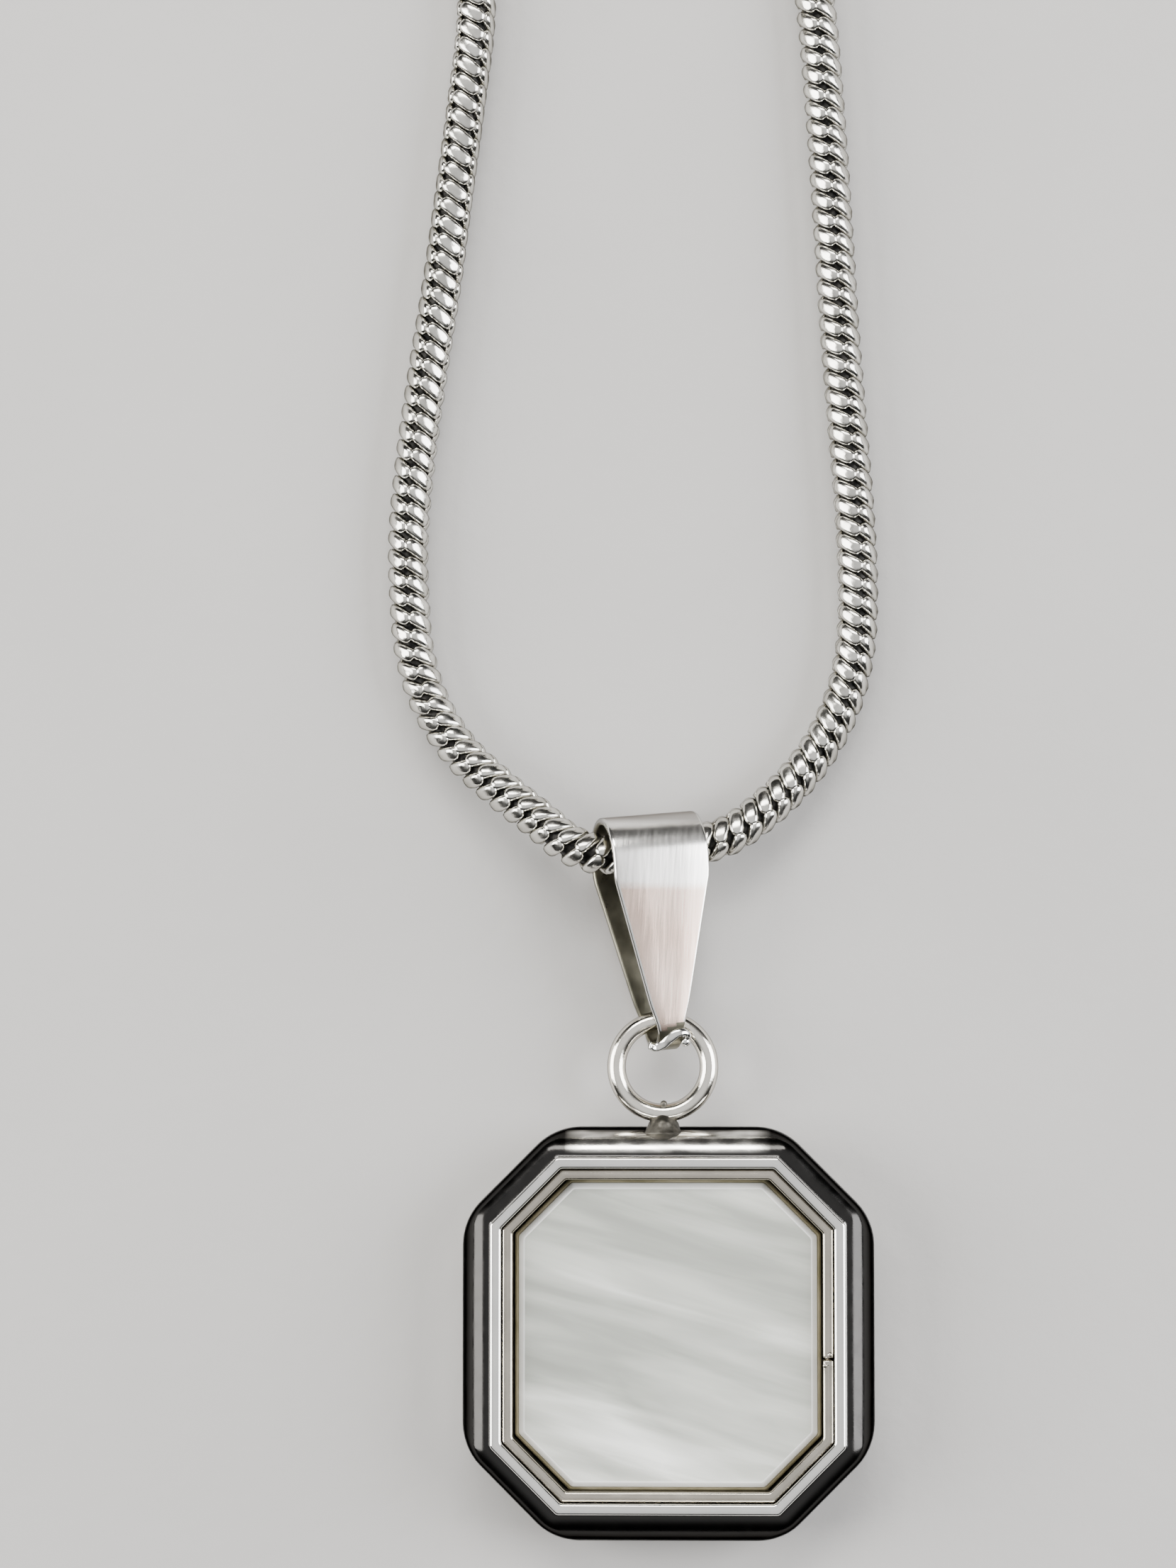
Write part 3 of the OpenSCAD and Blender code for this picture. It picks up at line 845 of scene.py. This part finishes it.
def hook_lip():
    """The end of the back leaf, curled through the ring to the front in a flat S."""
    tilt, narrow, swell = 0.25, 0.10, 0.13
    line, _ = spline([(x, y, math.sqrt(LIP_R ** 2 - y * y)) for x, y in LIP_ROUTE], LIP_STEP)
    slope = np.gradient(line, axis=0)
    slope /= np.linalg.norm(slope, axis=1)[:, None]
    rings = []
    for i, (at, ahead) in enumerate(zip(line, slope)):
        up = np.array([0, tilt, 1.0]) - (tilt * ahead[1] + ahead[2]) * ahead
        up /= np.linalg.norm(up)
        side = np.cross(ahead, up)
        s = i / (len(line) - 1)
        half = narrow + swell * math.sin(math.pi * min(1, 0.25 + 0.75 * s)) ** 0.5
        rings.append([tuple(at + half * math.cos(b) * side + LIP_HALF_T * math.sin(b) * up)
                      for b in round_angles(14)])
    return loft(rings)


def make_bail():
    """A strip folded round the ring below and round the chain above, and the curl of its end."""
    rings = [[(u, y + v * math.cos(a), z + v * math.sin(a)) for u, v in bail_outline(bail_half(y))]
             for y, z, a in bail_path()]
    strap = loft(rings, closed_path=True)
    points, faces = joined(strap, hook_lip(), ball((0.72, -1.08, 1.13), 0.25))
    slots = bail_slots(*strap, len(rings[0]))
    slots += [2] * (len(faces) - len(slots))
    place = (Matrix.Translation(HINGE) @ Matrix.Rotation(BAIL_YAW, 4, "Z")
             @ Matrix.Rotation(BAIL_PITCH, 4, "X") @ Matrix.Rotation(BAIL_ROLL, 4, "Y"))
    points = [tuple(place @ Vector(p)) for p in points]
    return piece("bail_strap", points, faces, [SATIN_PAINTED_LIGHT, INNER_PAINTED_SHADE, STEEL], "bail", ["bail"],
                 slots)


make_case()
make_strip()
make_shell()
make_glue()
make_ring()
make_solder()
make_bail()


# ---------------------------------------------------------------- carried-over CAD nodes

def finish_node(node, material):
    """Give a CAD node a material."""
    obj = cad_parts[node]
    if not obj.material_slots:
        obj.data.materials.append(material)
    for slot in obj.material_slots:
        slot.material = material


for name in ("end_cap_left", "end_cap_right", "clasp_body", "clasp_eye", "clasp_latch", "end_ring"):
    finish_node(name, RING_STEEL)
finish_node("clasp_spring", SPRING)


# ---------------------------------------------------------------- floor and light

FLOOR_Z = -0.00004
LIGHTS_AIM = (0, 0.03, 0)
# The grey of the world by height: 0 is the horizon and below it, and 1 is straight up
SKY = ((0.0, 0.03), (0.42, 0.06), (0.62, 0.25), (0.76, 0.75), (0.88, 1.5), (1.0, 1.7))
SKY_STRENGTH = 0.6

mesh = bpy.data.meshes.new("floor")
mesh.from_pydata([(-1, -1, 0), (1, -1, 0), (1, 1, 0), (-1, 1, 0)], [], [(0, 1, 2, 3)])
mesh.materials.append(paper())
floor = bpy.data.objects.new("floor", mesh)
floor.location.z = FLOOR_Z
bpy.context.scene.collection.objects.link(floor)


def area_light(name, at, size, power, color):
    """A rectangular light, aimed at LIGHTS_AIM."""
    light = bpy.data.lights.new(name, "AREA")
    light.shape = "RECTANGLE"
    light.size, light.size_y = size
    light.energy = power
    light.color = color
    obj = bpy.data.objects.new(name, light)
    obj.location = at
    obj.rotation_euler = (Vector(LIGHTS_AIM) - Vector(at)).to_track_quat("-Z", "Y").to_euler()
    bpy.context.scene.collection.objects.link(obj)


area_light("back", (-0.05, 0.34, 0.36), (0.40, 0.14), 2.6, (1.0, 0.985, 0.95))
area_light("left", (-0.36, 0.04, 0.19), (0.26, 0.30), 3.0, (1.0, 0.99, 0.96))
area_light("right", (0.34, 0.06, 0.20), (0.26, 0.30), 3.0, (0.98, 0.985, 1.0))

world = bpy.data.worlds.new("studio")
bpy.context.scene.world = world
world.use_nodes = True
tree = world.node_tree
coord = tree.nodes.new("ShaderNodeTexCoord")
split = tree.nodes.new("ShaderNodeSeparateXYZ")
tree.links.new(coord.outputs["Generated"], split.inputs[0])
ramp = tree.nodes.new("ShaderNodeValToRGB")
tree.links.new(split.outputs["Z"], ramp.inputs["Fac"])
set_stops(ramp, [(place, (level,) * 3) for place, level in SKY])
tree.links.new(ramp.outputs[0], tree.nodes["Background"].inputs["Color"])
tree.nodes["Background"].inputs["Strength"].default_value = SKY_STRENGTH
